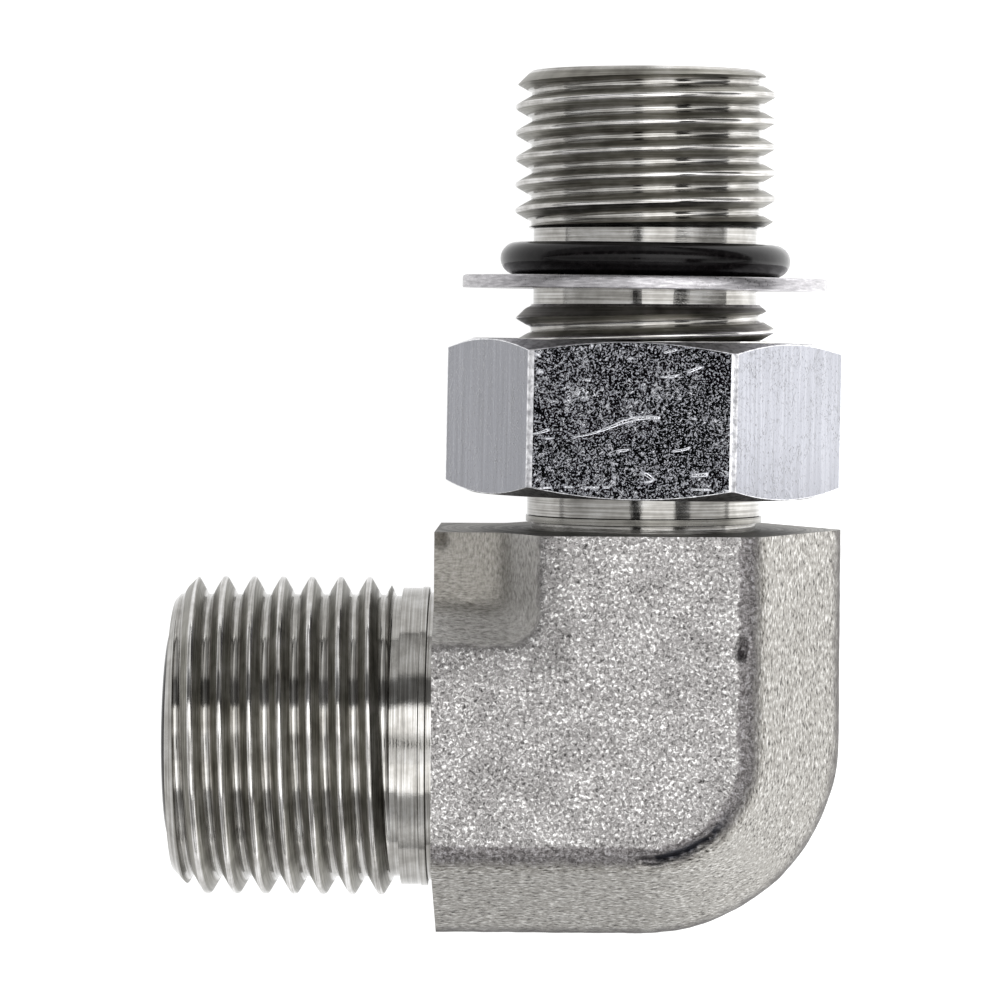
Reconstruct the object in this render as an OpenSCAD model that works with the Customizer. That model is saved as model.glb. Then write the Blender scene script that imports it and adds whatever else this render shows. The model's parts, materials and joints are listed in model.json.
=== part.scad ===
// Forged 90 degree elbow adapter: male face-seal end to adjustable port stud.
// The axes of the two bores cross at the origin. The port stud points along +Y and the
// face-seal stub along -X. The part lies on its back, with +Z as its front.

/* [Forged body] */
// Distance across the front and back wrench pads
body_af = 19; // [18:0.1:20]
// Width of each arm, measured at the parting line
body_w = 21.6; // [20.6:0.1:24]
// Width of the flat wrench pad
pad_w = 10.5; // [8:0.1:12]
// Radius that eases the pad's outer edge into the slanted facet
pad_outer_r = 1.3; // [0.5:0.1:2]
// Radius that eases the pad's inner edge
pad_inner_edge_r = 0.4; // [0.2:0.1:1]
// Fillet radius of the pad at the throat, seen from the front
throat_r = 2.2; // [1:0.1:3]
// Thickness of the web that fills the throat
web_t = 11.4; // [9:0.1:13]
// Height of the trimmed land on the parting line
parting_land = 0.8; // [0.4:0.1:1.6]
// Distance from the stud's axis to the machined face that carries the face-seal stub
seal_shoulder = 11.3; // [10.9:0.1:15]
// Distance from the stub's axis to the machined face that carries the port stud
port_shoulder = 11.5; // [10.9:0.1:15]

/* [Face-seal stub] */
// Major diameter of the face-seal thread
seal_thread_d = 17.46; // [16:0.01:19]
// Pitch of the face-seal thread
seal_pitch = 1.5875; // [1.25:0.0125:2]
// Length of the threaded stretch, from the flat end
seal_thread_len = 12.05; // [9:0.05:12.4]
// Diameter of the flat end, inside the thread's lead-in chamfer
seal_rim_d = 15; // [14:0.1:15.8]
// Length of the stub outside the body
seal_stub_len = 14.35; // [13.8:0.05:20]
// Diameter of the plain neck between the thread and the body
seal_neck_d = 16.3; // [14:0.1:17]
// Width of the run-out groove behind the thread
runout_w = 0.45; // [0.3:0.05:0.8]
// Depth of the run-out groove below the neck
runout_depth = 0.45; // [0.2:0.05:0.8]
// Diameter of the flow bore in the face-seal arm
seal_bore_d = 6.7; // [5:0.1:7]
// Outer diameter of the face groove
face_groove_d = 12.8; // [12:0.1:13.4]
// Width of the face groove
face_groove_w = 2.15; // [1.9:0.05:2.4]
// Depth of the face groove
face_groove_depth = 1.45; // [1.2:0.05:1.6]

/* [Port stud] */
// Major diameter of the port thread and of the lock-nut thread
port_thread_d = 14.27; // [13:0.01:16]
// Pitch of both threads on the stud
port_pitch = 1.4111; // [1:0.0001:1.6]
// Length of the port thread, from the stud's end
port_thread_len = 8.6; // [7:0.1:12]
// Distance from the body's shoulder to the stud's end
port_stud_len = 25; // [24.6:0.1:34]
// Diameter of the smooth undercut that carries the washer and the seal
undercut_d = 12.25; // [11:0.05:12.4]
// Length of the undercut
undercut_len = 4.1; // [3.8:0.1:6]
// Diameter of the stud's flat end, inside the thread's lead-in chamfer
port_rim_d = 12.6; // [11:0.1:13]
// Length of the chamfer where the lock-nut thread meets the undercut
nut_thread_lead = 0.8; // [0.4:0.1:1.2]
// Diameter of the plain neck under the lock-nut thread
port_neck_d = 12.8; // [11.6:0.1:13.2]
// Length of the plain neck
port_neck_len = 2.5; // [2:0.1:3.4]
// Diameter of the flow bore in the port arm
port_bore_d = 7.5; // [5:0.1:8.5]

/* [Lock nut] */
// Amount by which the nut is narrower across its flats than the pads, which the same wrench fits
nut_wrench_play = 0.1; // [0:0.05:1]
// Height of the nut
nut_h = 8.4; // [6:0.1:8.6]
// Distance from the body's shoulder to the nut's lower face
nut_back_off = 1.9; // [1.6:0.1:2.2]
// Diameter of the flat ring that the chamfer leaves on each end face
nut_face_d = 18.4; // [16.6:0.1:21]
// Slope of the nut's end chamfer, in degrees
nut_chamfer_angle = 30; // [15:1:45]
// Amount by which the nut's six corners are rounded off
nut_corner_trim = 0.12; // [0.05:0.01:0.3]
// Running gap between the nut's thread and the stud's thread
thread_gap = 0.1; // [0.06:0.01:0.14]
// Depth of the countersink at each end of the nut's thread
nut_countersink = 0.7; // [0.4:0.1:1]
// Turn of the nut about the stud, in degrees, from a flat facing the front
nut_turn = -4.4; // [-30:0.1:30]

/* [Backup washer and seals] */
// Outer diameter of the backup washer
washer_d = 20; // [17:0.1:24]
// Thickness of the backup washer
washer_t = 0.7; // [0.5:0.05:1.2]
// Distance from the undercut's lower end to the washer
washer_rise = 0.8; // [0.3:0.1:0.8]
// Radial gap between the washer and the undercut
washer_gap = 0.1; // [0.05:0.05:0.3]
// Thickness of the O-ring on the port stud
boss_seal_t = 1.8; // [1.6:0.05:2.2]
// Thickness of the O-ring in the face groove
face_seal_t = 1.78; // [1.6:0.02:1.84]
// Gap that keeps each seal just clear of the surface that it rests on
seal_gap = 0.02; // [0.01:0.01:0.05]

/* [Hidden] */
$fn = 96;
// Overlap between solids that are joined, and overshoot of cutting tools
bond = 0.5;
// Number of straight steps along the eased edges of the forging
edge_steps = 5;
// Share of the pitch that a crest's flat takes up
crest_share = 0.125;
// Depth of a thread as a share of its pitch
depth_share = 0.613;
// Half of the thread's included angle, in degrees
flank_angle = 30;
// Point angle of the drill that leaves the bores' blind ends, in degrees
drill_point = 118;
nut_af = body_af - nut_wrench_play;
half_t = body_af / 2;
half_w = body_w / 2;
half_pad = pad_w / 2;
throat_square = half_pad + throat_r;
seal_end = seal_shoulder + seal_stub_len;
port_end = port_shoulder + port_stud_len;
undercut_end = port_end - port_thread_len;
undercut_start = undercut_end - undercut_len;
nut_thread_start = port_shoulder + port_neck_len;
nut_thread_end = undercut_start - nut_thread_lead;
nut_start = port_shoulder + nut_back_off;
nut_end = nut_start + nut_h;
port_crest = port_pitch * crest_share;
port_root_r = port_thread_d / 2 - thread_depth(port_pitch);
washer_start = undercut_start + washer_rise;
washer_bore_d = undercut_d + 2 * washer_gap;
boss_seal_centre = washer_start + washer_t + seal_gap + boss_seal_t / 2;
face_seal_centre = seal_end - face_groove_depth + seal_gap + face_seal_t / 2;
face_seal_ring_r = (face_groove_d - face_seal_t) / 2 - seal_gap;

// Sends a shape built along +Z onto the port arm's axis
module along_port() {
    rotate([-90, 0, 0]) children();
}

// Sends a shape built along +Z onto the face-seal arm's axis
module along_seal() {
    rotate([0, -90, 0]) children();
}

// Depth of a thread with the given pitch
function thread_depth(pitch) = pitch * depth_share;

// Outline of a stretch of ring-shaped thread between two heights, from the lower one up.
// The crests keep the major radius, so each is a true cylinder, and the top one ends
// at the upper height.
function thread_points(major_r, depth, crest, pitch, low, high) =
    let (flank = depth * tan(flank_angle))
    let (root = pitch - crest - 2 * flank)
    let (count = floor((high - low - crest) / pitch))
    let (first = high - count * pitch)
    concat(
        [[major_r - depth, max(low, first - crest - flank)], [major_r, first - crest]],
        [for (i = [0:count - 1]) let (z = first + i * pitch) each [
            [major_r, z],
            [major_r - depth, z + flank],
            [major_r - depth, z + flank + root],
            [major_r, z + 2 * flank + root]]],
        [[major_r, high]]);

// Half-section of one arm on its outer side: flat pad, eased edge, slanted facet and
// parting land. The facet is tangent to the eased edge.
function facet_points(edge_r) =
    let (land = parting_land / 2)
    let (dx = half_w - half_pad, dy = land - (half_t - edge_r))
    let (reach = sqrt(dx * dx + dy * dy))
    let (last = atan2(dy, dx) + acos(edge_r / reach))
    concat(
        [for (i = [0:edge_steps]) let (a = 90 + (last - 90) * i / edge_steps)
            [half_pad + edge_r * cos(a), half_t - edge_r + edge_r * sin(a)]],
        [[half_w, land]]);

// Closed half-section, from the arm's axis outwards
module half_section(edge_r) {
    upper = concat([[0, half_t]], facet_points(edge_r));
    count = len(upper);
    lower = [for (i = [count - 1:-1:0]) [upper[i][0], -upper[i][1]]];
    polygon(concat(upper, lower));
}

// Half of the port arm, with its section on the +X side, from one height along Y to another
module port_arm_half(edge_r, low, high) {
    translate([0, high, 0]) rotate([90, 0, 0]) linear_extrude(high - low) half_section(edge_r);
}

// Outer side of both arms and the rounded outer corner, whose centre is the origin
module outer_sweep() {
    port_arm_half(pad_outer_r, 0, port_shoulder);
    rotate([0, 0, -90]) rotate_extrude(angle = 90) half_section(pad_outer_r);
    rotate([0, 0, 90]) mirror([1, 0, 0]) port_arm_half(pad_outer_r, 0, seal_shoulder);
}

// Inner side of both arms, where the pad turns through the throat fillet
module inner_sweep() {
    mirror([1, 0, 0]) port_arm_half(pad_inner_edge_r, throat_square, port_shoulder);
    rotate([0, 0, 90]) port_arm_half(pad_inner_edge_r, throat_square, seal_shoulder);
    intersection() {
        translate([-throat_square, throat_square, 0]) rotate([0, 0, -90])
            rotate_extrude(angle = 90) throat_section();
        translate([-throat_square, 0, -half_t]) cube([throat_square, throat_square, body_af]);
    }
}

// Section turned about the throat fillet's centre: the facet rises from that centre to the pad
module throat_section() {
    upper = [for (p = facet_points(pad_inner_edge_r)) [throat_square - p[0], p[1]]];
    count = len(upper);
    far = 2 * throat_square;
    intersection() {
        polygon(concat(
            [[far, half_t]], upper,
            [for (i = [count - 1:-1:0]) [upper[i][0], -upper[i][1]]],
            [[far, -half_t]]));
        translate([0, -half_t]) square([far, body_af]);
    }
}

// Web that fills the throat out to the two machined shoulders
module throat_web() {
    translate([-seal_shoulder, 0, -web_t / 2]) cube([seal_shoulder, port_shoulder, web_t]);
}

// Turned face-seal stub, from inside the body to its flat end
module seal_stub() {
    r = seal_thread_d / 2;
    neck = seal_neck_d / 2;
    lead_in = r - seal_rim_d / 2;
    thread_start = seal_end - seal_thread_len;
    rotate_extrude() polygon(concat(
        [[0, seal_shoulder - bond], [neck, seal_shoulder - bond],
         [neck, thread_start - runout_w],
         [neck - runout_depth, thread_start - runout_w],
         [neck - runout_depth, thread_start]],
        thread_points(
            r, thread_depth(seal_pitch), seal_pitch * crest_share, seal_pitch,
            thread_start, seal_end - lead_in),
        [[seal_rim_d / 2, seal_end], [0, seal_end]]));
}

// Turned port stud: neck, lock-nut thread, undercut and port thread
module port_stud() {
    r = port_thread_d / 2;
    depth = r - port_root_r;
    neck = port_neck_d / 2;
    lead_in = r - port_rim_d / 2;
    rotate_extrude() polygon(concat(
        [[0, port_shoulder - bond], [neck, port_shoulder - bond], [neck, nut_thread_start]],
        thread_points(r, depth, port_crest, port_pitch, nut_thread_start, nut_thread_end),
        [[port_rim_d / 2, undercut_start], [undercut_d / 2, undercut_start],
         [undercut_d / 2, undercut_end]],
        thread_points(r, depth, port_crest, port_pitch, undercut_end, port_end - lead_in),
        [[port_rim_d / 2, port_end], [0, port_end]]));
}

// Drilled passage with a pointed blind end just past the crossing
module drilling(bore_d, depth) {
    tip = bore_d / 2 / tan(drill_point / 2);
    cylinder(d = bore_d, h = depth + bond);
    translate([0, 0, -tip]) cylinder(d1 = 0, d2 = bore_d, h = tip);
}

module elbow_body() {
    color("silver") difference() {
        union() {
            outer_sweep();
            inner_sweep();
            throat_web();
            along_seal() seal_stub();
            along_port() port_stud();
        }
        along_port() drilling(port_bore_d, port_end);
        along_seal() drilling(seal_bore_d, seal_end);
        along_seal() translate([0, 0, seal_end - face_groove_depth]) face_groove();
    }
}

// Ring-shaped cutter for the face groove
module face_groove() {
    difference() {
        cylinder(d = face_groove_d, h = face_groove_depth + bond);
        translate([0, 0, -bond])
            cylinder(d = face_groove_d - 2 * face_groove_w, h = face_groove_depth + 3 * bond);
    }
}

// Solid that the nut's thread is cut with: the stud's thread grown by the running gap,
// in step with it, and wide enough inside to pass over the neck
module nut_tap() {
    r = port_thread_d / 2 + thread_gap;
    inner_r = max(port_root_r, port_neck_d / 2) + thread_gap;
    widen = thread_gap * tan(flank_angle);
    turns_over = max(0, ceil((nut_end + bond - nut_thread_end) / port_pitch));
    top = nut_thread_end + widen + turns_over * port_pitch;
    bottom = nut_start - 2 * bond;
    rotate_extrude() polygon(concat(
        [[0, bottom], [inner_r, bottom]],
        thread_points(
            r, r - inner_r, port_crest + 2 * widen, port_pitch, nut_start - bond, top),
        [[0, top]]));
    for (face = [nut_start, nut_end]) mirror_at(face, face == nut_end)
        cylinder(r1 = r, r2 = r - nut_countersink, h = nut_countersink);
}

// Moves a shape to a height along +Z, upside down where flipped
module mirror_at(height, flipped) {
    translate([0, 0, height]) mirror([0, 0, flipped ? 1 : 0]) children();
}

// Cone that chamfers one end of the nut, from the edge of its flat ring outwards
module chamfer_envelope() {
    cylinder(d1 = nut_face_d, d2 = nut_face_d + 2 * nut_af, h = nut_af * tan(nut_chamfer_angle));
}

module lock_nut() {
    corner_d = nut_af / cos(30) - 2 * nut_corner_trim;
    color("gainsboro") along_port() difference() {
        intersection() {
            translate([0, 0, nut_start]) rotate([0, 0, nut_turn])
                cylinder(d = nut_af / cos(30), h = nut_h, $fn = 6);
            translate([0, 0, nut_start]) cylinder(d = corner_d, h = nut_h);
            mirror_at(nut_start, false) chamfer_envelope();
            mirror_at(nut_end, true) chamfer_envelope();
        }
        nut_tap();
    }
}

module backup_washer() {
    color("darkgray") along_port() translate([0, 0, washer_start]) difference() {
        cylinder(d = washer_d, h = washer_t);
        translate([0, 0, -bond]) cylinder(d = washer_bore_d, h = washer_t + 2 * bond);
    }
}

// O-ring of the given thickness about +Z, with its middle circle at the given radius
module o_ring(ring_r, thickness) {
    rotate_extrude() translate([ring_r, 0]) circle(d = thickness, $fn = 48);
}

module boss_o_ring() {
    color("#1c191b") along_port() translate([0, 0, boss_seal_centre])
        o_ring(undercut_d / 2 + seal_gap + boss_seal_t / 2, boss_seal_t);
}

module face_seal_o_ring() {
    color("#1c191b") along_seal() translate([0, 0, face_seal_centre])
        o_ring(face_seal_ring_r, face_seal_t);
}

elbow_body();
lock_nut();
backup_washer();
boss_o_ring();
face_seal_o_ring();
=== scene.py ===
# %% [markdown]
# # A zinc-plated hydraulic elbow adapter
# The real object is a steel forging bent through a right angle. Both ends were turned and threaded
# on a lathe, and the upper one carries a lock nut, a backup washer and an O-ring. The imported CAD
# model gives the true place and size of every piece, so it is loaded first and never changed.
# This script makes a finer mesh for each piece, exactly where its CAD node is, and gives it the
# finish of the real one.

import json
import math

import bmesh
import bpy
from mathutils import Matrix, Vector


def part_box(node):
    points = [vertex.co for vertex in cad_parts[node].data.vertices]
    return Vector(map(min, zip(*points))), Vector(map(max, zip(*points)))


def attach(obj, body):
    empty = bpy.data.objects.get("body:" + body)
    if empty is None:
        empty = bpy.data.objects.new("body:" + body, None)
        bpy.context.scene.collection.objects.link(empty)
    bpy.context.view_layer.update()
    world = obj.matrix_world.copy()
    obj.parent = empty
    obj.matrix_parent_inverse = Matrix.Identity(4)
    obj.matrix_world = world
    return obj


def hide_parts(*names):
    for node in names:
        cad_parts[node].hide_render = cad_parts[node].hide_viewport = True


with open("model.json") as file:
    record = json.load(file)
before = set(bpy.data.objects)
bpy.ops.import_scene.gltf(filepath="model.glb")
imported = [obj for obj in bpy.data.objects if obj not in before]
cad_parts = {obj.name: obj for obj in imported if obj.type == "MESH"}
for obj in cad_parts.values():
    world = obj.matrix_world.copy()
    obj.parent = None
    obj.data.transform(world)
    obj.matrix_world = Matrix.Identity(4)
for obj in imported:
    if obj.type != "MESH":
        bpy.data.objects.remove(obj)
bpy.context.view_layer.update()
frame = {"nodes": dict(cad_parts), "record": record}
MM = 0.001
scene = bpy.context.scene
print("CAD nodes:", sorted(frame["nodes"]))

# %% [markdown]
# ## Sizes
# Everything is in metres, in the CAD's own frame: the two bores cross at the origin, the port stud
# points along +Y, the face-seal stub along -X, and the part lies on its back with +Z up. The large
# sizes are read from the boxes of the CAD nodes, so a mesh can't drift away from them. The few
# others are named here, in millimetres times MM.

# %% Sizes
body_low, body_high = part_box("elbow_body")
nut_low, nut_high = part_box("lock_nut")
washer_low, washer_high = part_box("backup_washer")
mounts = {m["name"]: m["dims"] for m in frame["record"]["mounts"] if "dims" in m}

half_thick = body_high.z
half_wide = body_high.x
seal_end = -body_low.x
port_end = body_high.y
seal_shoulder = 11.3 * MM
port_shoulder = 11.5 * MM
half_pad = 5.25 * MM
web_half = 5.7 * MM
parting_half = 0.4 * MM
throat_fillet = 2.2 * MM
pad_outer_ease = 1.3 * MM
pad_inner_ease = 0.4 * MM

seal_thread_r = mounts["face_seal_thread"]["r_mm"] * MM
seal_pitch = 1.5875 * MM
seal_thread_start = seal_end - 12.05 * MM
seal_rim_r = 7.5 * MM
seal_neck_r = 8.15 * MM
seal_bore_r = mounts["face_seal_bore"]["r_mm"] * MM

port_thread_r = mounts["port_thread"]["r_mm"] * MM
port_pitch = 1.4111 * MM
undercut_end = port_end - 8.6 * MM
undercut_start = undercut_end - 4.1 * MM
undercut_r = 6.125 * MM
port_rim_r = 6.3 * MM
port_neck_r = 6.4 * MM
port_neck_end = port_shoulder + 2.5 * MM
port_bore_r = mounts["port_bore"]["r_mm"] * MM
print("stub ends at", round(seal_end / MM, 2), "and", round(port_end / MM, 2), "mm")

# %% [markdown]
# ## Small helpers for meshes
# A bmesh is Blender's workbench for a mesh: operators such as spin, extrude and bevel shape it, and
# it is then written to a mesh that an object shows. Turned pieces are made standing on +Z and laid
# onto their real axis at the end, by one matrix for each arm.

# %% Mesh helpers
ALONG_PORT = Matrix.Rotation(math.radians(-90), 4, "X")
ALONG_SEAL = Matrix.Rotation(math.radians(-90), 4, "Y")
LATHE_STEPS = 160
FINE_STEPS = 192
MERGE = 0.0005 * MM


def to_object(bm, name, place=Matrix.Identity(4)):
    """Writes a bmesh to a new object, laid onto its axis, with its faces pointing outwards."""
    bmesh.ops.remove_doubles(bm, verts=bm.verts, dist=MERGE)
    bmesh.ops.transform(bm, matrix=place, verts=bm.verts)
    bmesh.ops.recalc_face_normals(bm, faces=bm.faces)
    mesh = bpy.data.meshes.new(name)
    bm.to_mesh(mesh)
    bm.free()
    made = bpy.data.objects.new(name, mesh)
    scene.collection.objects.link(made)
    return made


def add_line(bm, points):
    """Adds a line through points given as (radius, height)."""
    verts = [bm.verts.new((r, 0, z)) for r, z in points]
    return verts, [bm.edges.new(pair) for pair in zip(verts, verts[1:])]


def spin(bm, geom, angle, steps, climb=0, closed=False):
    """Turns a line or a face round the Z axis. It may climb at each step, or meet its own start."""
    bmesh.ops.spin(bm, geom=geom, cent=(0, 0, 0), axis=(0, 0, 1), dvec=(0, 0, climb), angle=angle,
                   steps=steps, use_merge=closed, use_duplicate=False)


def turned(name, outline, place, steps=LATHE_STEPS):
    """A solid of revolution from an outline that starts and ends on the axis, or that is closed."""
    bm = bmesh.new()
    verts, edges = add_line(bm, outline)
    spin(bm, verts + edges, math.tau, steps, closed=True)
    return to_object(bm, name, place)


def extrude(bm, faces, step):
    """Pulls faces out by a step and leaves the first ones as the other end of the solid."""
    grown = bmesh.ops.extrude_face_region(bm, geom=faces, use_keep_orig=True)
    tops = [v for v in grown["geom"] if isinstance(v, bmesh.types.BMVert)]
    bmesh.ops.translate(bm, verts=tops, vec=step)


def leaning(centre, angle, shift=Vector((0, 0, 0))):
    """A small turn in the photograph's plane about a piece's own centre, and a shift."""
    turn = Matrix.Rotation(angle, 4, "Z")
    return Matrix.Translation(centre + shift) @ turn @ Matrix.Translation(-centre)


def apply_modifiers(piece):
    """Replaces a piece's mesh by what its modifiers make of it."""
    done = piece.evaluated_get(bpy.context.evaluated_depsgraph_get())
    mesh = bpy.data.meshes.new_from_object(done)
    piece.modifiers.clear()
    old, piece.data = piece.data, mesh
    bpy.data.meshes.remove(old)
    mesh.name = piece.name


def combine(piece, tools, operation):
    """Joins, cuts or keeps the overlap of a piece with each tool, and deletes the tools."""
    for tool in tools:
        step = piece.modifiers.new("combine", "BOOLEAN")
        step.operation = operation
        step.solver = "MANIFOLD"
        step.object = tool
        apply_modifiers(piece)
        bpy.data.objects.remove(tool)
    return piece


def soften(piece, sharp_degrees):
    """Smooth shading, with edges sharper than the angle kept crisp."""
    piece.data.shade_smooth()
    piece.data.set_sharp_from_angle(angle=math.radians(sharp_degrees))


# %% [markdown]
# ## The forging
# The body was hammered hot between two dies. Its section has flat wrench pads front and back, a
# slanted facet down each side, which is the draft that let it leave the die, and a thin land where
# the dies met. One could sculpt it, but that one section keeps it true: it is extruded along both
# arms, spun round the outer corner, and spun about the centre of the fillet in the throat. The
# overlapping solids become one skin with a voxel remesh, whose small cells also round every edge
# the way hot steel fills a die.

# %% Forging section
PAD_WEAR = 0.55 * MM
PAD_UP = 0.99
FACET_UP = (0.2, 0.9)
OVERRUN = 1.0 * MM


def section(bm, reach_in, reach_out, ease):
    """A face across half an arm: pad, slanted facet and parting land, from inside to the edge.

    The pad's corner lies far enough out for the CAD's eased edge to start where the pad ends. The
    outer edge is eased a little more here, because the die was worn there.
    """
    slope = math.atan2(half_thick - parting_half, half_wide - half_pad)
    corner = half_pad + ease * math.tan(slope / 2)
    wear = PAD_WEAR if ease > MM else 0
    fall = (half_thick - parting_half) / (half_wide - corner)
    low = half_thick - max(0, reach_out - corner) * fall
    points = [(reach_in, half_thick), (corner, half_thick), (reach_out, low),
              (reach_out, -low), (corner, -half_thick), (reach_in, -half_thick)]
    verts = [bm.verts.new((x, 0, z)) for x, z in points]
    return bm.faces.new(verts), (ease + wear) * math.tan(slope / 2)


def finish_blank(bm, name, place, offset, segments=5):
    """Rounds the edges between the flat pad and the slanted facet, and puts the solid in place."""
    bmesh.ops.remove_doubles(bm, verts=bm.verts, dist=MERGE)
    bmesh.ops.recalc_face_normals(bm, faces=bm.faces)
    bm.normal_update()
    edges = []
    for edge in bm.edges:
        if len(edge.link_faces) == 2 and all(abs(v.co.z) > half_thick - MERGE for v in edge.verts):
            tilts = sorted(abs(f.normal.z) for f in edge.link_faces)
            if tilts[1] > PAD_UP and FACET_UP[0] < tilts[0] < FACET_UP[1]:
                edges.append(edge)
    bmesh.ops.bevel(bm, geom=edges, affect="EDGES", offset=offset, segments=segments,
                    profile=0.5, material=-1, clamp_overlap=True)
    return to_object(bm, name, place)


def arm(ease, low, high, place):
    """Half an arm, extruded along +Y from one height to another."""
    bm = bmesh.new()
    face, offset = section(bm, 0, half_wide, ease)
    bmesh.ops.translate(bm, verts=bm.verts, vec=(0, low, 0))
    extrude(bm, [face], (0, high - low, 0))
    return finish_blank(bm, "arm", place, offset)


def bend(name, reach_in, reach_out, ease, outset, steps, place, segments=5):
    """The section spun a quarter turn about an upright axis, from one arm to the other."""
    bm = bmesh.new()
    face, offset = section(bm, reach_in, reach_out, ease)
    bmesh.ops.translate(bm, verts=bm.verts, vec=(-outset, 0, 0))
    spin(bm, [face, *face.edges, *face.verts], -math.pi / 2, steps)
    return finish_blank(bm, name, place, offset, segments)


def web_solid():
    """The web that fills the throat between the two arms."""
    bm = bmesh.new()
    bmesh.ops.create_cube(bm, size=1)
    wide, high = seal_shoulder + OVERRUN, port_shoulder + OVERRUN
    bmesh.ops.scale(bm, verts=bm.verts, vec=(wide, high, 2 * web_half))
    bmesh.ops.translate(bm, verts=bm.verts, vec=(-wide / 2, high / 2, 0))
    return to_object(bm, "web")


# %% Forging blank
VOXEL = 0.2 * MM
CORNER_STEPS, FILLET_STEPS = 48, 32
IN_PLACE = Matrix.Identity(4)
TO_SEAL = Matrix.Rotation(math.pi / 2, 4, "Z")
FLIP_X = Matrix.Scale(-1, 4, (1, 0, 0))
square = half_pad + throat_fillet
INTO_THROAT = Matrix.Translation((-square, square, 0)) @ Matrix.Rotation(math.pi, 4, "Z")
throat_overlap = 0.45 * square
blanks = [
    arm(pad_outer_ease, 0, port_shoulder + OVERRUN, IN_PLACE),
    arm(pad_inner_ease, square, port_shoulder + OVERRUN, FLIP_X),
    arm(pad_inner_ease, square, seal_shoulder + OVERRUN, TO_SEAL),
    arm(pad_outer_ease, 0, seal_shoulder + OVERRUN, TO_SEAL @ FLIP_X),
    bend("corner", 0, half_wide, pad_outer_ease, 0, CORNER_STEPS, IN_PLACE),
    bend("throat", -throat_overlap, square, pad_inner_ease, square, FILLET_STEPS, INTO_THROAT, 3),
    web_solid(),
]
elbow = blanks[0]
elbow.name = "elbow_steel"
bm = bmesh.new()
for blank in blanks:
    bm.from_mesh(blank.data)
for blank in blanks[1:]:
    bpy.data.objects.remove(blank)
bm.to_mesh(elbow.data)
bm.free()

remesh = elbow.modifiers.new("skin", "REMESH")
remesh.mode = "VOXEL"
remesh.voxel_size = VOXEL
relax = elbow.modifiers.new("relax", "SMOOTH")
relax.factor = 0.5
relax.iterations = 3
apply_modifiers(elbow)
print("forging blank:", len(elbow.data.polygons), "faces")

# %% [markdown]
# A die can't have a sharp inner corner, so the web runs into the arms through a soft hollow. A few
# rounds of smooth_vert on the vertices around it make that hollow. The same mesh then takes the
# marks that the photograph shows on its front: a pit and a folded lip beside the pad, and a nick at
# the corner of the web. Each mark is a soft dent pushed into the skin, given by its x and y, its
# half width and half height, and its depth, all in millimetres.

# %% Throat and marks
HOLLOW_ROUNDS = 26
HOLLOW_FROM = 4.5 * MM
HOLLOW_HALF = 8.2 * MM
MARK_REACH = 2
MARKS = [
    (5.3, 5.85, 0.2, 0.3, 0.3), (5.12, 5.35, 0.2, 0.34, 0.5),
    (-10.95, 11.1, 0.3, 0.34, 0.7), (-9.35, 7.75, 0.4, 0.12, 0.12),
]
LIP_R = 5.72
MARKS += [(LIP_R * math.cos(turn), LIP_R * math.sin(turn), 0.3, 0.28, 0.45)
          for turn in (math.radians(degrees) for degrees in range(-92, -42, 5))]

bm = bmesh.new()
bm.from_mesh(elbow.data)
hollow = [v for v in bm.verts if v.co.x < -HOLLOW_FROM and v.co.y > HOLLOW_FROM
          and abs(v.co.z) < HOLLOW_HALF]
for _ in range(HOLLOW_ROUNDS):
    bmesh.ops.smooth_vert(bm, verts=hollow, factor=0.5, use_axis_x=True, use_axis_y=True,
                          use_axis_z=True)
for vert in bm.verts:
    if vert.co.z > web_half / 2:
        x, y = vert.co.x / MM, vert.co.y / MM
        vert.co.z -= MM * sum(deep * math.exp(-((x - at_x) / wide) ** 2 - ((y - at_y) / high) ** 2)
                              for at_x, at_y, wide, high, deep in MARKS
                              if abs(x - at_x) + abs(y - at_y) < MARK_REACH)
bm.to_mesh(elbow.data)
bm.free()

# %% [markdown]
# A hammered skin is never quite flat. A Displace modifier with a cloud pattern lifts and sinks it
# by a few hundredths of a millimetre. Then the two shoulders, which were faced on the lathe, are
# cut straight through the skin with bisect, so that they stay flat and crisp. What the waves
# lifted past the CAD's box is pressed back onto it.

# %% Forging skin
waves = bpy.data.textures.new("forging_waves", "CLOUDS")
waves.noise_scale = 1.3 * MM
waves.noise_depth = 3
skin = elbow.modifiers.new("skin", "DISPLACE")
skin.texture = waves
skin.texture_coords = "LOCAL"
skin.mid_level = 0.52
skin.strength = 0.09 * MM
apply_modifiers(elbow)


def face_off(bm, point, normal):
    """Cuts away what lies beyond a plane and closes the cut with one flat face."""
    everything = [*bm.verts, *bm.edges, *bm.faces]
    cut = bmesh.ops.bisect_plane(bm, geom=everything, dist=MERGE, plane_co=point,
                                 plane_no=normal, clear_outer=True)
    rim = [e for e in cut["geom_cut"] if isinstance(e, bmesh.types.BMEdge)]
    bmesh.ops.contextual_create(bm, geom=rim)


bm = bmesh.new()
bm.from_mesh(elbow.data)
face_off(bm, (-seal_shoulder, 0, 0), (-1, 0, 0))
face_off(bm, (0, port_shoulder, 0), (0, 1, 0))
for limit, axis in ((half_thick, 2), (half_wide, 0)):
    for vert in bm.verts:
        vert.co[axis] = min(vert.co[axis], limit)
for vert in bm.verts:
    vert.co.z = max(vert.co.z, -half_thick)
    vert.co.y = max(vert.co.y, body_low.y)
bm.to_mesh(elbow.data)
bm.free()

# %% [markdown]
# ## Threads
# A screw thread is one profile wound round an axis. Spin does exactly that when it also climbs a
# little at each step: one pitch of the profile, spun a whole turn, meets its own start one pitch
# higher. The wound rod is longer than the thread and is then cut to the turned outline of the stub,
# which leaves the chamfers and the run-out that a real thread has.

# %% Threads
THREAD_DEPTH = 0.613
CREST_HALF = 0.0625
ROUNDING = 0.022
EASE_DROP = 0.87
FLANK = math.tan(math.radians(30))


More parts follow.
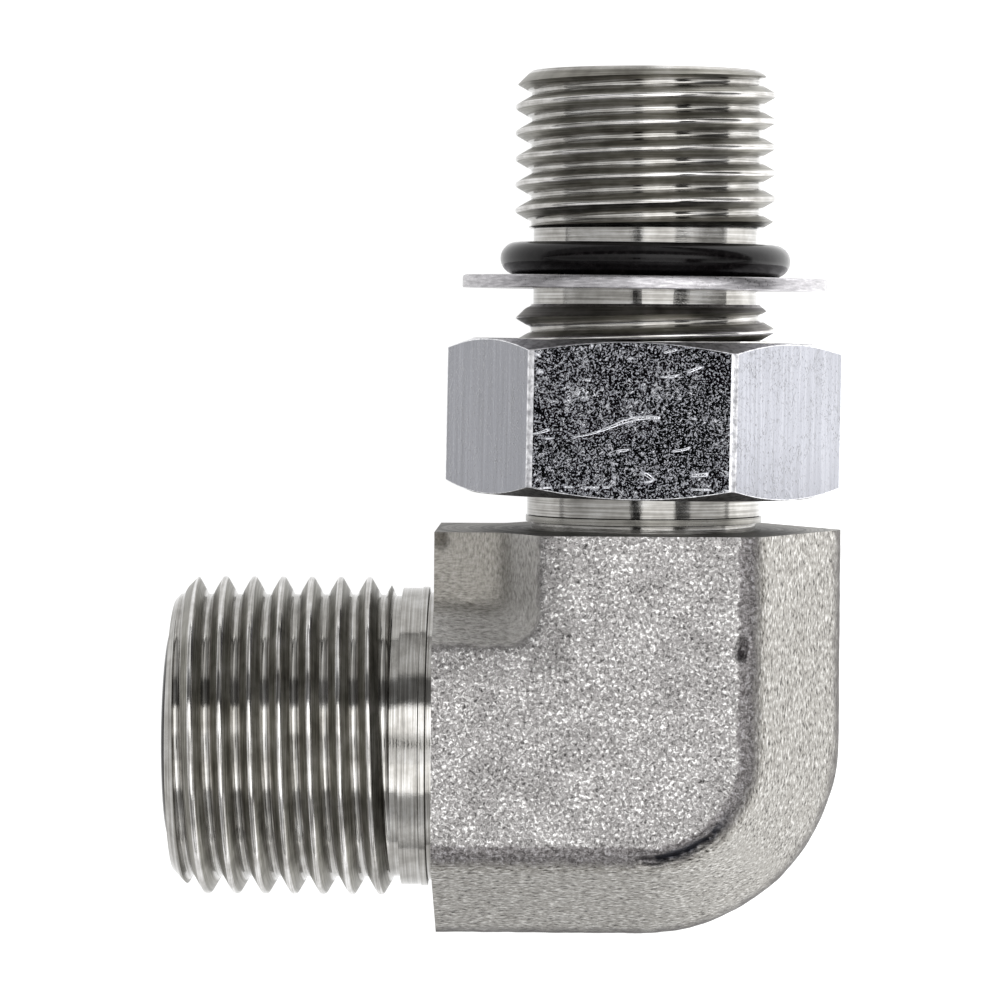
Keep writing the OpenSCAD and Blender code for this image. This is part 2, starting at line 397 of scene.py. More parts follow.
def thread_profile(radius, pitch, height):
    """One pitch of the thread's outline, from the middle of a crest to the middle of the next."""
    depth = THREAD_DEPTH * pitch
    crest = CREST_HALF * pitch
    ease = ROUNDING * pitch
    root = crest + depth * FLANK
    half = [(0, 0), (crest - ease, 0), (crest + ease * 0.5, ease * EASE_DROP),
            (root - ease * 0.5, depth - ease * EASE_DROP), (root + ease, depth), (pitch / 2, depth)]
    mirrored = [(pitch - along, down) for along, down in reversed(half[:-1])]
    return [(radius - down, height + along) for along, down in half + mirrored]


def threaded_rod(name, radius, pitch, crest_height, low, high, place):
    """A solid rod with a right-hand thread, whose crest meets the start line at a given height."""
    below = math.ceil((crest_height - low) / pitch) + 1
    turns = math.ceil((high - low) / pitch) + 3
    bm = bmesh.new()
    verts, edges = add_line(bm, thread_profile(radius, pitch, crest_height - below * pitch))
    spin(bm, verts + edges, math.tau * turns, LATHE_STEPS * turns, climb=pitch / LATHE_STEPS)
    bmesh.ops.remove_doubles(bm, verts=bm.verts, dist=2 * MERGE)
    bmesh.ops.recalc_face_normals(bm, faces=bm.faces)
    face_off(bm, (0, 0, low), (0, 0, -1))
    face_off(bm, (0, 0, high), (0, 0, 1))
    return to_object(bm, name, place)


def ring_thread(radius, pitch, top_edge, low, high, grow=0.0):
    """Outline of a thread drawn as rings, which a turning nut can pass without climbing."""
    depth = THREAD_DEPTH * pitch
    crest = 2 * CREST_HALF * pitch + 2 * grow * FLANK
    flank = depth * FLANK
    count = math.ceil((top_edge - low) / pitch) + 1
    outline = []
    for ring in range(count, -1, -1):
        top = top_edge + grow * FLANK - ring * pitch
        outline += [(radius + grow - depth, top - crest - flank), (radius + grow, top - crest),
                    (radius + grow, top), (radius + grow - depth, top + flank)]
    inside = [(r, z) for r, z in outline if low < z < high]
    return [(0, low), (inside[0][0], low), *inside, (inside[-1][0], high), (0, high)]


# %% [markdown]
# ## The turned stubs
# The face-seal stub has a flat end with an O-ring groove, a chamfered thread and a plain neck. The
# port stud has a port thread, a smooth undercut for its seal, and the lock nut's thread. Under the
# nut the thread is drawn as rings, as in the CAD, because its joint turns it without moving it.

# %% Face-seal stub
COLLAR_GROOVE = 0.25 * MM
COLLAR_PROUD = 0.07 * MM
COLLAR_FROM, COLLAR_TO = 0.42 * MM, 0.74 * MM
COLLAR_EASE = 0.06 * MM
CORE_SHORT = 2 * MM
RELIEF = 0.45 * MM
OVERLAP = 0.05 * MM
clear = 0.3 * MM
spare = 0.2 * MM


def collar(neck_r, shoulder):
    """Outline of the narrow groove and collar that the facing tool leaves beside a shoulder."""
    groove_r, collar_r = neck_r - COLLAR_GROOVE, neck_r + COLLAR_PROUD
    return [(groove_r, shoulder - OVERRUN), (groove_r, shoulder + COLLAR_FROM - COLLAR_EASE),
            (collar_r, shoulder + COLLAR_FROM), (collar_r, shoulder + COLLAR_TO),
            (neck_r, shoulder + COLLAR_TO + COLLAR_EASE)]


def threaded_end(name, crest_r, rim_r, pitch, crest_height, low, high, run_out, place):
    """A thread that rises over its run-out and ends in a chamfer down to its rim."""
    rod = threaded_rod(name, crest_r, pitch, crest_height, low - spare, high + spare, place)
    lead = crest_r - rim_r + clear
    envelope = turned("envelope", [
        (0, low), (crest_r - THREAD_DEPTH * pitch, low), (crest_r + clear, low + run_out),
        (crest_r + clear, high - lead), (rim_r, high), (0, high)], place)
    return combine(rod, [envelope], "INTERSECT")


seal_root_r = seal_thread_r - THREAD_DEPTH * seal_pitch
seal_front_crest = 22.58 * MM
seal_run_out = 0.6 * MM
seal_rod = threaded_end("seal_thread", seal_thread_r, seal_rim_r, seal_pitch, seal_front_crest,
                        seal_thread_start, seal_end, seal_run_out, ALONG_SEAL)
relief_r = seal_neck_r - RELIEF
seal_core_r = 6 * MM
seal_core = turned("seal_core", [
    (0, seal_shoulder - OVERRUN), *collar(seal_neck_r, seal_shoulder),
    (seal_neck_r, seal_thread_start - RELIEF), (relief_r, seal_thread_start - RELIEF + OVERLAP),
    (relief_r, seal_thread_start + OVERLAP), (seal_core_r, seal_thread_start + OVERLAP),
    (seal_core_r, seal_end - CORE_SHORT), (0, seal_end - CORE_SHORT)], ALONG_SEAL)

# %% Port stud
port_front_crest = 32.07 * MM
nut_front_crest = 22.05 * MM
port_run_out = 0.7 * MM
nut_thread_lead = 1.1 * MM
quarter = port_pitch / 4
port_rod = threaded_end("port_thread", port_thread_r, port_rim_r, port_pitch,
                        port_front_crest + quarter, undercut_end, port_end, port_run_out,
                        ALONG_PORT)
nut_rod = threaded_rod("nut_thread", port_thread_r, port_pitch, nut_front_crest + quarter,
                       nut_high.y - spare / 2, undercut_start + spare, ALONG_PORT)
envelope = turned("envelope", [
    (0, nut_high.y), (port_thread_r + clear, nut_high.y),
    (port_thread_r + clear, undercut_start - nut_thread_lead), (port_rim_r, undercut_start),
    (0, undercut_start)], ALONG_PORT)
combine(nut_rod, [envelope], "INTERSECT")
thread_top = undercut_start - 0.8 * MM
rings_top = nut_high.y + 0.01 * MM
rings = turned("rings", ring_thread(port_thread_r, port_pitch, thread_top, port_neck_end, rings_top),
               ALONG_PORT)
port_root_r = port_thread_r - THREAD_DEPTH * port_pitch
core_r = port_root_r - 0.15 * MM
bite = 0.1 * MM
port_core = turned("port_core", [
    (0, port_shoulder - OVERRUN), *collar(port_neck_r, port_shoulder),
    (port_neck_r, port_neck_end), (core_r, port_neck_end + bite),
    (core_r, undercut_start - bite), (undercut_r, undercut_start - bite),
    (undercut_r, undercut_end + bite), (core_r, undercut_end + bite),
    (core_r, port_end - CORE_SHORT), (0, port_end - CORE_SHORT)], ALONG_PORT)

# %% [markdown]
# ## Joining and drilling
# The forging and the stubs are one piece of steel, so Boolean modifiers join them. The Manifold
# solver is quick and exact on closed meshes like these. The two bores and the face groove are cut
# afterwards, as the lathe did.

# %% Elbow
DRILL_HALF_ANGLE = math.radians(59)
DRILL_STEPS = 96


def drill(bore_r, end, mouth, place):
    """A drill that leaves a pointed bottom just past the crossing and a small chamfer outside."""
    tip = bore_r / math.tan(DRILL_HALF_ANGLE)
    return turned("drill", [(0, -tip), (bore_r, 0), (bore_r, end - mouth),
                            (bore_r + mouth + clear, end + clear), (0, end + clear)], place,
                  DRILL_STEPS)


combine(elbow, [seal_core, seal_rod, port_core, rings, nut_rod, port_rod], "UNION")
groove_in_r, groove_out_r = 4.25 * MM, 6.4 * MM
groove_floor, groove_mouth = seal_end - 1.45 * MM, seal_end + clear
groove = turned("groove", [
    (groove_in_r, groove_floor), (groove_out_r, groove_floor), (groove_out_r, groove_mouth),
    (groove_in_r, groove_mouth), (groove_in_r, groove_floor)], ALONG_SEAL)
port_mouth, seal_mouth = 0.3 * MM, 0.15 * MM
drills = [drill(port_bore_r, port_end, port_mouth, ALONG_PORT),
          drill(seal_bore_r, seal_end, seal_mouth, ALONG_SEAL)]
combine(elbow, [groove, *drills], "DIFFERENCE")
soften(elbow, sharp_degrees=38)
print("elbow:", len(elbow.data.polygons), "faces")

# %% [markdown]
# ## The lock nut
# A hex nut is cut from a drawn hexagonal bar: six smooth flats, with both ends chamfered on a lathe.
# The chamfer is a cone, and where a cone meets a flat it leaves the curved edge that every nut has.
# So the mesh is a six-sided prism with eased corners, kept where it overlaps a double cone. The play
# in its thread lets the nut lean by almost a degree and sit a hair to the left, as it does in the
# photograph.

# %% Lock nut
nut_half = 9.45 * MM
NUT_TURN = math.radians(-4.4)
NUT_TILT = math.radians(-0.8)
NUT_SHIFT = Vector((-0.06 * MM, 0, 0))
nut_corner_r = nut_half / math.cos(math.pi / 6)
nut_ring_r = 9.38 * MM
NUT_CHAMFER = math.radians(21)
NUT_EASE = 0.24 * MM
THREAD_GAP = 0.1 * MM

bm = bmesh.new()
bmesh.ops.create_circle(bm, segments=6, radius=nut_corner_r, cap_ends=True)
bmesh.ops.rotate(bm, verts=bm.verts, cent=(0, 0, 0),
                 matrix=Matrix.Rotation(math.pi / 6 + NUT_TURN, 3, "Z"))
bmesh.ops.translate(bm, verts=bm.verts, vec=(0, 0, nut_low.y))
extrude(bm, bm.faces[:], (0, 0, nut_high.y - nut_low.y))
bmesh.ops.recalc_face_normals(bm, faces=bm.faces)
corners = [e for e in bm.edges if abs(e.verts[0].co.z - e.verts[1].co.z) > MM]
bmesh.ops.bevel(bm, geom=corners, affect="EDGES", offset=NUT_EASE, segments=3, profile=0.5,
                material=-1, clamp_overlap=True)
nut = to_object(bm, "lock_nut_steel", ALONG_PORT)
rise = (nut_corner_r + clear - nut_ring_r) * math.tan(NUT_CHAMFER)
cone = turned("cone", [
    (0, nut_low.y), (nut_ring_r, nut_low.y), (nut_corner_r + clear, nut_low.y + rise),
    (nut_corner_r + clear, nut_high.y - rise), (nut_ring_r, nut_high.y), (0, nut_high.y)],
    ALONG_PORT, FINE_STEPS)
combine(nut, [cone], "INTERSECT")
edge = nut.modifiers.new("worn_edge", "BEVEL")
edge.width = 0.1 * MM
edge.segments = 2
edge.limit_method = "ANGLE"
edge.angle_limit = math.radians(14)
apply_modifiers(nut)
below_nut, above_nut = nut_low.y - MM, nut_high.y + MM
pass_r = port_neck_r + THREAD_GAP
tap = turned("tap", ring_thread(port_thread_r, port_pitch, thread_top, below_nut, above_nut,
                                THREAD_GAP), ALONG_PORT)
passing = turned("passing", [(0, below_nut), (pass_r, below_nut), (pass_r, above_nut),
                             (0, above_nut)], ALONG_PORT)
sink = 0.7 * MM
mouth_r = port_thread_r + THREAD_GAP
sinks = [turned("sink", [(0, face - side * sink), (mouth_r - sink, face - side * sink),
                         (mouth_r, face), (mouth_r, face + side * MM), (0, face + side * MM)],
                ALONG_PORT) for face, side in ((nut_high.y, 1), (nut_low.y, -1))]
combine(nut, [tap, passing, *sinks], "DIFFERENCE")
nut_centre = Vector((0, (nut_low.y + nut_high.y) / 2, 0))
nut.data.transform(leaning(nut_centre, NUT_TILT, NUT_SHIFT))
soften(nut, sharp_degrees=8)
print("nut:", len(nut.data.polygons), "faces")

# %% [markdown]
# ## Washer and O-rings
# The backup washer was punched from sheet, which rolls its upper rim over. The O-rings are moulded
# nitrile rubber. Each is an outline spun once round the stud. The washer and the O-ring above it lean
# by half a degree, as in the photograph.

# %% Washer and O-rings
WASHER_TILT = math.radians(-0.5)
RING_SEGMENTS = 40
washer_r = washer_high.x
washer_bore_r = undercut_r + 0.1 * MM
roll = 0.14 * MM
washer = turned("washer_steel", [
    (washer_bore_r, washer_low.y), (washer_r - roll / 3, washer_low.y),
    (washer_r, washer_low.y + roll / 3),
    (washer_r, washer_high.y - roll), (washer_r - roll / 3, washer_high.y - roll / 3),
    (washer_r - roll, washer_high.y), (washer_bore_r, washer_high.y), (washer_bore_r, washer_low.y)],
    ALONG_PORT, FINE_STEPS)
soften(washer, sharp_degrees=30)
seated = leaning((washer_low + washer_high) / 2, WASHER_TILT)
washer.data.transform(seated)


def o_ring(name, node, place, axis):
    """A torus that fills the box of its CAD node."""
    low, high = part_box(node)
    thick = (high - low)[axis]
    middle = abs((high + low)[axis]) / 2
    ring_r = high.z - thick / 2
    bm = bmesh.new()
    bmesh.ops.create_circle(bm, segments=RING_SEGMENTS, radius=thick / 2)
    bmesh.ops.rotate(bm, verts=bm.verts, cent=(0, 0, 0), matrix=Matrix.Rotation(math.pi / 2, 3, "X"))
    bmesh.ops.translate(bm, verts=bm.verts, vec=(ring_r, 0, middle))
    spin(bm, [*bm.verts, *bm.edges], math.tau, LATHE_STEPS, closed=True)
    made = to_object(bm, name, place)
    soften(made, sharp_degrees=60)
    return made


port_ring = o_ring("port_seal_rubber", "boss_o_ring", ALONG_PORT, 1)
port_ring.data.transform(seated)
face_ring = o_ring("face_seal_rubber", "face_seal_o_ring", ALONG_SEAL, 0)

# %% [markdown]
# ## Materials
# All the steel is zinc-plated, a bluish-white metal coat a few thousandths of a millimetre thick, so
# what differs is the surface under it: hammered, turned, drawn or punched. Each finish is a metal
# with its own roughness and its own bump, sized from the real marks. The patterns read Object
# coordinates, which are metres here, so a scale is one over a real size. One function adds every
# node. Its sockets are named, or listed in the node's own order: a Map Range has its value, where
# that starts and ends, and what it becomes there.

# %% Material helpers
FRACTAL = {"Detail": 3.0, "Roughness": 0.6}


def linear(code):
    """An sRGB hex colour as the linear values that shaders use."""
    values = [int(code[i:i + 2], 16) / 255 for i in (1, 3, 5)]
    return [v / 12.92 if v <= 0.04045 else ((v + 0.055) / 1.055) ** 2.4 for v in values] + [1.0]


def add_node(tree, kind, sockets=(), output=0, stops=(), **settings):
    """Adds a node with its settings and colour stops. Each socket gets a value or a link."""
    made = tree.nodes.new("ShaderNode" + kind)
    for name, value in settings.items():
        setattr(made, name, value)
    named = sockets if isinstance(sockets, dict) else dict(enumerate(sockets))
    for name, value in named.items():
        if isinstance(value, bpy.types.NodeSocket):
            tree.links.new(value, made.inputs[name])
        else:
            made.inputs[name].default_value = value
    for _ in stops[2:]:
        made.color_ramp.elements.new(0.5)
    for index, (position, colour) in enumerate(stops):
        made.color_ramp.elements[index].position = position
        made.color_ramp.elements[index].color = linear(colour) if isinstance(colour, str) else colour
    return made.outputs[output]


class Finish:
    """A material under construction: its shader, and the place of each point on the object."""

    def __init__(self, name, metallic, roughness, colour):
        self.material = bpy.data.materials.new(name)
        self.material.use_nodes = True
        self.tree = self.material.node_tree
        self.shader = self.tree.nodes["Principled BSDF"]
        self.shader.inputs["Metallic"].default_value = metallic
        self.shader.inputs["Roughness"].default_value = roughness
        self.shader.inputs["Base Color"].default_value = linear(colour)
        self.place = self.add("TexCoord", output="Object")
        self.parts = {axis: self.add("SeparateXYZ", [self.place], axis) for axis in "XYZ"}

    def add(self, kind, sockets=(), output=0, stops=(), **settings):
        """Adds a node to this finish."""
        return add_node(self.tree, kind, sockets, output, stops, **settings)

    def feed(self, patterns):
        """Links patterns to the sockets of the shader and gives the finished material."""
        for socket, pattern in patterns.items():
            self.tree.links.new(pattern, self.shader.inputs[socket])
        return self.material


# %% [markdown]
# Forged steel is shot-blasted before it is plated, which leaves tiny craters whose rims sparkle. The
# flat pads took the blast squarely and are the coarsest. The slanted facets and the web show finer
# strokes, drawn out the way the metal flowed in the die. The height above the mid-plane and the
# distance out from the bend tell pads, eased edges, facets and web apart, so one material holds all.

# %% Where the forging's surfaces lie
PAD_EDGE = 4.95 * MM
LIP_GAP = 0.25


def forging_masks(finish):
    """Values from 0 to 1: the pad, its edge band of painted shade, the folded lip and other zones."""
    add = finish.add
    x, y, z = (finish.parts[axis] for axis in "XYZ")
    height = add("Math", [z], operation="ABSOLUTE")
    beside = add("Math", [x, 0.0], operation="MAXIMUM")
    below = add("Math", [y, 0.0], operation="MINIMUM")
    outward = add("CombineXYZ", [beside, below])
    outward = add("VectorMath", [outward], "Value", operation="LENGTH")
    wander = add("TexNoise", {"Vector": finish.place, "Scale": 1 / (0.9 * MM), "Detail": 4.0,
                              "Roughness": 0.6})
    ragged = add("Math", [wander, 0.7 * MM, outward], operation="MULTIPLY_ADD")
    ragged_height = add("Math", [wander, 1.2 * MM, height], operation="MULTIPLY_ADD")

    flat = add("MapRange", [height, half_thick - 0.22 * MM, half_thick - 0.1 * MM])
    inside = add("MapRange", [ragged, PAD_EDGE + 0.42 * MM, PAD_EDGE + 0.3 * MM])
    pad = add("Math", [flat, inside], operation="MULTIPLY")

    # The band along the pad's eased edge is painted shade, darker where that edge reflects a dark gap
    # of the tent.
    near = add("MapRange", [outward, PAD_EDGE - 1.0 * MM, PAD_EDGE - 0.7 * MM])
    painted_edge_shade = add("MapRange", [ragged, PAD_EDGE + 1.6 * MM, PAD_EDGE + 1.1 * MM])
    painted_edge_shade = add("Math", [near, painted_edge_shade], operation="MULTIPLY")
    rim = add("MapRange", [ragged_height, half_thick + 0.1 * MM, half_thick + 0.45 * MM, 0.0, 0.7])
    edge = add("Math", [painted_edge_shade, rim], operation="MAXIMUM")

    gap = add("Math", [ragged, (LIP_R + LIP_GAP) * MM], operation="SUBTRACT")
    gap = add("Math", [gap], operation="ABSOLUTE")
    lip = add("MapRange", [gap, 0.38 * MM, 0.12 * MM])
    broken = add("MapRange", [wander, 0.4, 0.5, 0.3])
    lip = add("Math", [lip, broken], operation="MULTIPLY")
    for start, end in ((-0.3, 0.5), (4.7, 3.7)):
        reach = add("MapRange", [x, start * MM, end * MM])
        lip = add("Math", [lip, reach], operation="MULTIPLY")

    parting = add("MapRange", [ragged_height, 2.0 * MM, 1.2 * MM])
    leftward = add("MapRange", [x, -3.5 * MM, -4.5 * MM])
    upward = add("MapRange", [y, 3.5 * MM, 4.5 * MM])
    throat = add("Math", [leftward, upward], operation="MULTIPLY")
    rising = add("MapRange", [height, web_half + 0.1 * MM, web_half + 1.2 * MM])
    diagonal = add("Math", [x, y], operation="ADD")
    port_arm = add("MapRange", [diagonal, -1.5 * MM, 1.5 * MM])
    return {"pad": pad, "edge": edge, "lip": lip, "parting": parting, "throat": throat,
            "rising": rising, "port_arm": port_arm}


# %% Forged zinc
def forged_zinc():
    """Zinc over shot-blasted forged steel: a bright sparkle of 0.1 to 0.3 mm on a mid grey."""
    finish = Finish("zinc_on_forged_steel", 1.0, 0.4, "#A8A6A2")
    add, where = finish.add, forging_masks(finish)
    craters = add("TexNoise", {"Vector": finish.place, "Scale": 1 / (0.17 * MM),
                               "Roughness": 0.6, "Distortion": 0.7})
    patches = add("TexNoise", {"Vector": finish.place, "Scale": 1 / (1.7 * MM)})
    patches = add("Math", [patches, 0.2, craters], operation="MULTIPLY_ADD")
    pad = add("ValToRGB", [patches], stops=[
        (0.38, "#3C3A3A"), (0.50, "#797776"), (0.61, "#8E8C8B"), (0.70, "#AAA8A7"), (0.80, "#EBEAE9")])

    strokes = []
    for squeeze in ((0.35, 1, 0.5), (1, 0.35, 0.5)):
        drawn_out = add("Mapping", {"Vector": finish.place, "Scale": squeeze})
        strokes.append(add("TexNoise", {"Vector": drawn_out, "Scale": 1 / (0.11 * MM),
                                        "Roughness": 0.6}))
    strokes = add("Mix", {0: where["port_arm"], 2: strokes[0], 3: strokes[1]})
    facet = add("ValToRGB", [strokes], stops=[
        (0.32, "#302D29"), (0.42, "#7E7B76"), (0.56, "#92908B"), (0.68, "#C2C0BD")])
    web, slope = (
        add("ValToRGB", [strokes], stops=[(0.3, dark), (0.5, middle), (0.7, bright)])
        for dark, middle, bright in (("#787570", "#96938D", "#ABA8A3"),
                                     ("#92908D", "#B1AFAC", "#C8C6C4")))
    # Painted shade: the pad's eased edge is coloured darker, standing in for its reflection of a dark
    # gap of the tent.
    edge = add("ValToRGB", [craters], stops=[
        (0.35, "#4C4949"), (0.55, "#7A7777"), (0.7, "#9E9C9E")])

    throat = add("Mix", {0: where["rising"], 6: web, 7: slope}, 2, data_type="RGBA")
    colour = add("Mix", {0: where["throat"], 6: facet, 7: throat}, 2, data_type="RGBA")
    # The folded lip is a real dent; its blue-black colour is painted shade in the fold.
    for mask, over in (("parting", linear("#4F4C4A")), ("edge", edge), ("lip", linear("#2E2F36")),
                       ("pad", pad)):
        colour = add("Mix", {0: where[mask], 6: colour, 7: over}, 2, data_type="RGBA")
    roughness = add("MapRange", [where["pad"], 0.0, 1.0, 0.38, 0.3])
    roughness = add("Math", [where["throat"], 0.24, roughness], operation="MULTIPLY_ADD")
    grain = add("Mix", {0: where["pad"], 2: strokes, 3: craters})
    bump = add("Bump", {"Height": grain, "Distance": 0.05 * MM})
    return finish.feed({"Base Color": colour, "Roughness": roughness, "Normal": bump})


# %% [markdown]
# On a lathe the tool leaves fine rings round the axis, on the cylinders, the threads and the faced
# ends alike. A noise that reads only the distance from the axis and the place along it draws just
# such rings. The whole pattern turns slightly with the angle, because no cut runs perfectly true.
# The flanks of a cut thread are torn and dull, so they are rougher, and their dark olive colour is
# painted shade from their 60 degree groove. The crests and the plain bands are nearly mirrors, and
# the crests are coloured lighter, a painted highlight.

# %% Turned zinc
UNTRUE = 0.02
SEAM = 0.02 * MM


def lathe_rings(finish, along, across, size):
    """The distance from the axis, and noise that reads only it and the place along the axis."""
    add, parts = finish.add, finish.parts
    spoke = add("CombineXYZ", [parts[across], parts["Z"]])
    radius = add("VectorMath", [spoke], "Value", operation="LENGTH")
    wander = add("Math", [parts[across], UNTRUE], operation="MULTIPLY")
    rings_at = add("CombineXYZ", [radius, parts[along], wander])
    return radius, add("TexNoise", {"Vector": rings_at, "Scale": 1 / size, "Roughness": 0.6})


def turned_zinc(name, along, across, root_r, crest_r, thread_from):
    """Zinc over turned steel: painted highlight on crests, painted shade on flanks, rings 0.1 mm
    apart.
    """
    finish = Finish(name, 1.0, 0.15, "#A9A7A2")
    add = finish.add
    radius, rings = lathe_rings(finish, along, across, 0.11 * MM)
    plating = add("TexNoise", {"Vector": finish.place, "Scale": 1 / (0.16 * MM), "Detail": 3.0,
                               "Roughness": 0.65})
    clouds = add("TexNoise", {"Vector": finish.place, "Scale": 1 / (1.6 * MM), **FRACTAL})
    threaded = add("MapRange", [finish.parts[along], thread_from + SEAM, thread_from - SEAM])
    proud = add("MapRange", [radius, root_r, crest_r])
    proud = add("Math", [proud, threaded], operation="MULTIPLY")
    on_flank = add("MapRange", [proud, 0.17, 0.27])
    on_crest = add("MapRange", [proud, 0.86, 0.97])

    streaks = add("Math", [rings, 0.6], operation="MULTIPLY")
    streaks = add("Math", [clouds, 0.4, streaks], operation="MULTIPLY_ADD")
    # Painted light: flank colours are darker as painted shade in the groove, crest colours lighter as
    # a painted highlight.
    plain, flank, crest = (
        add("ValToRGB", [streaks], stops=[(0.38, dark), (0.5, middle), (0.62, bright)])
        for dark, middle, bright in (("#7A7874", "#9A9894", "#B8B7B5"),
                                     ("#5C5A54", "#7B7972", "#989690"),
                                     ("#8B8985", "#B5B3B0", "#DCDBDA")))
    colour = add("Mix", {0: on_flank, 6: plain, 7: flank}, 2, data_type="RGBA")
    colour = add("Mix", {0: on_crest, 6: colour, 7: crest}, 2, data_type="RGBA")

    polished = add("MapRange", [clouds, 0.35, 0.7, 0.06, 0.16])
    torn = add("Math", [on_flank, on_crest], operation="SUBTRACT")
    roughness = add("Math", [torn, 0.26, polished], operation="MULTIPLY_ADD")
    bump = add("Bump", {"Height": rings, "Distance": 0.003 * MM})
    bump = add("Bump", {"Height": plating, "Distance": 0.002 * MM, "Normal": bump})
    return finish.feed({"Base Color": colour, "Roughness": roughness, "Normal": bump})


def faced_zinc(name, along, across, valley, hill, depth):
    """Zinc over a faced end: dull, because the tool's rings are deep and close."""
    finish = Finish(name, 1.0, 0.5, hill)
    rings = lathe_rings(finish, along, across, 0.2 * MM)[1]
    colour = finish.add("ValToRGB", [rings], stops=[(0.35, valley), (0.65, hill)])
    bump = finish.add("Bump", {"Height": rings, "Distance": depth})
    return finish.feed({"Base Color": colour, "Normal": bump})


# %% [markdown]
# A drawn hexagonal bar comes out of its die almost mirror-bright, with faint lines along its length.
# Nuts are then barrel-plated: they tumble against each other, so each flat is peppered with tiny
# dings and a few hairline scratches. A ding is a dent, whose sides throw back other parts of the
# light tent than the flat does, so it sparkles on a dark flat and vanishes on a pale one. On the
# front and back flats that sparkle is also painted: their dings and scratches get a pale colour,
# a painted glint.

# %% Drawn zinc
def drawn_zinc():
    """Bright zinc over drawn hexagonal bar: mirror-smooth flats with dings and scratches."""
    finish = Finish("zinc_on_drawn_steel", 1.0, 0.1, "#8A8B90")
    add, place = finish.add, finish.place
    along_bar = add("Mapping", {"Vector": place, "Scale": (1, 0.03, 1)})
    lines = add("TexNoise", {"Vector": along_bar, "Scale": 1 / (0.3 * MM), **FRACTAL})
    clouds = add("TexNoise", {"Vector": place, "Scale": 1 / (2.2 * MM)})
    dings = add("TexNoise", {"Vector": place, "Scale": 1 / (0.24 * MM), "Detail": 3.0,
                             "Roughness": 0.7, "Distortion": 0.8})
    dings = add("Math", [clouds, 0.2, dings], operation="MULTIPLY_ADD")
    dings = add("MapRange", [dings, 0.675, 0.77])
    pits = add("TexNoise", {"Vector": place, "Scale": 1 / (0.1 * MM), "Roughness": 0.6})
    pits = add("MapRange", [pits, 0.58, 0.78])
    scratches = 0.0
    for turn, size in ((0.5, 2.6), (-0.35, 3.4)):
        laid = add("Mapping", {"Vector": place, "Rotation": (0, 0, turn), "Scale": (0.3, 1, 1)})
        line = add("TexNoise", {"Vector": laid, "Scale": 1 / (size * MM), "Detail": 1.0})
        line = add("Math", [line, 0.5], operation="SUBTRACT")
        line = add("Math", [line], operation="ABSOLUTE")
        line = add("MapRange", [line, 0.012, 0.005])
        scratches = add("Math", [scratches, line], operation="MAXIMUM")
    broken = add("TexNoise", {"Vector": place, "Scale": 1 / (1.1 * MM), "Detail": 1.0})
    broken = add("MapRange", [broken, 0.52, 0.58])
    scratches = add("Math", [scratches, broken], operation="MULTIPLY")
    facing = add("SeparateXYZ", [add("TexCoord", output="Normal")], "Z")
    facing = add("Math", [facing], operation="ABSOLUTE")
    facing = add("MapRange", [facing, 0.75, 0.9, 0.0, 0.8])
    # Painted glints: on the flats that face up and down, the dings and scratches are coloured pale.
    painted_glints = add("Math", [dings, scratches], operation="MAXIMUM")
    painted_glints = add("Math", [painted_glints, facing], operation="MULTIPLY")

    drawn = add("ValToRGB", [lines], stops=[
        (0.3, "#7B7C81"), (0.5, "#84858B"), (0.7, "#8F9096")])
    colour = add("Mix", {0: painted_glints, 6: drawn, 7: linear("#E6E7EC")}, 2, data_type="RGBA")
    roughness = add("MapRange", [clouds, 0.35, 0.65, 0.03, 0.06])
    bump = add("Bump", {"Height": lines, "Distance": 0.0012 * MM})
    for dent, depth in ((dings, 0.03), (pits, 0.008), (scratches, 0.008)):
        bump = add("Bump", {"Height": dent, "Distance": depth * MM, "Normal": bump})
    return finish.feed({"Base Color": colour, "Roughness": roughness, "Normal": bump})


def worn_and_highlit_zinc():
    """Zinc knocked by tumbling nuts on corners and chamfer edges, coloured bright as a painted
    highlight.
    """
    finish = Finish("zinc_on_worn_and_highlit_nut_edges", 1.0, 0.3, "#D9D9DC")
    knocks = finish.add("TexNoise", {"Vector": finish.place, "Scale": 1 / (0.35 * MM), **FRACTAL})
    colour = finish.add("ValToRGB", [knocks], stops=[(0.35, "#ABABAF"), (0.6, "#EDEDF0")])
    bump = finish.add("Bump", {"Height": knocks, "Distance": 0.02 * MM})
    return finish.feed({"Base Color": colour, "Normal": bump})


# %% [markdown]
# The washer was punched from cold-rolled sheet and barrel-plated, so it is satin rather than bright.
# Nitrile rubber comes out of a polished mould: black, softly shining, with a faint film of dust.

# %% Punched zinc and rubber
def punched_zinc():
    """Zinc over punched sheet: satin grey, with streaks from the punch across its edge."""
    finish = Finish("zinc_on_punched_sheet", 1.0, 0.3, "#ABA9AB")
    add, place = finish.add, finish.place
    grain = add("TexNoise", {"Vector": place, "Scale": 1 / (0.14 * MM), **FRACTAL})
    across_edge = add("Mapping", {"Vector": place, "Scale": (1, 7, 1)})
    streaks = add("TexNoise", {"Vector": across_edge, "Scale": 1 / (0.9 * MM), **FRACTAL})
    colour = add("ValToRGB", [streaks], stops=[
        (0.34, "#8F8D90"), (0.5, "#A5A3A6"), (0.64, "#BDBBBE")])
    roughness = add("MapRange", [grain, 0.35, 0.65, 0.26, 0.36])
    bump = add("Bump", {"Height": streaks, "Distance": 0.006 * MM})
    bump = add("Bump", {"Height": grain, "Distance": 0.002 * MM, "Normal": bump})
    return finish.feed({"Base Color": colour, "Roughness": roughness, "Normal": bump})


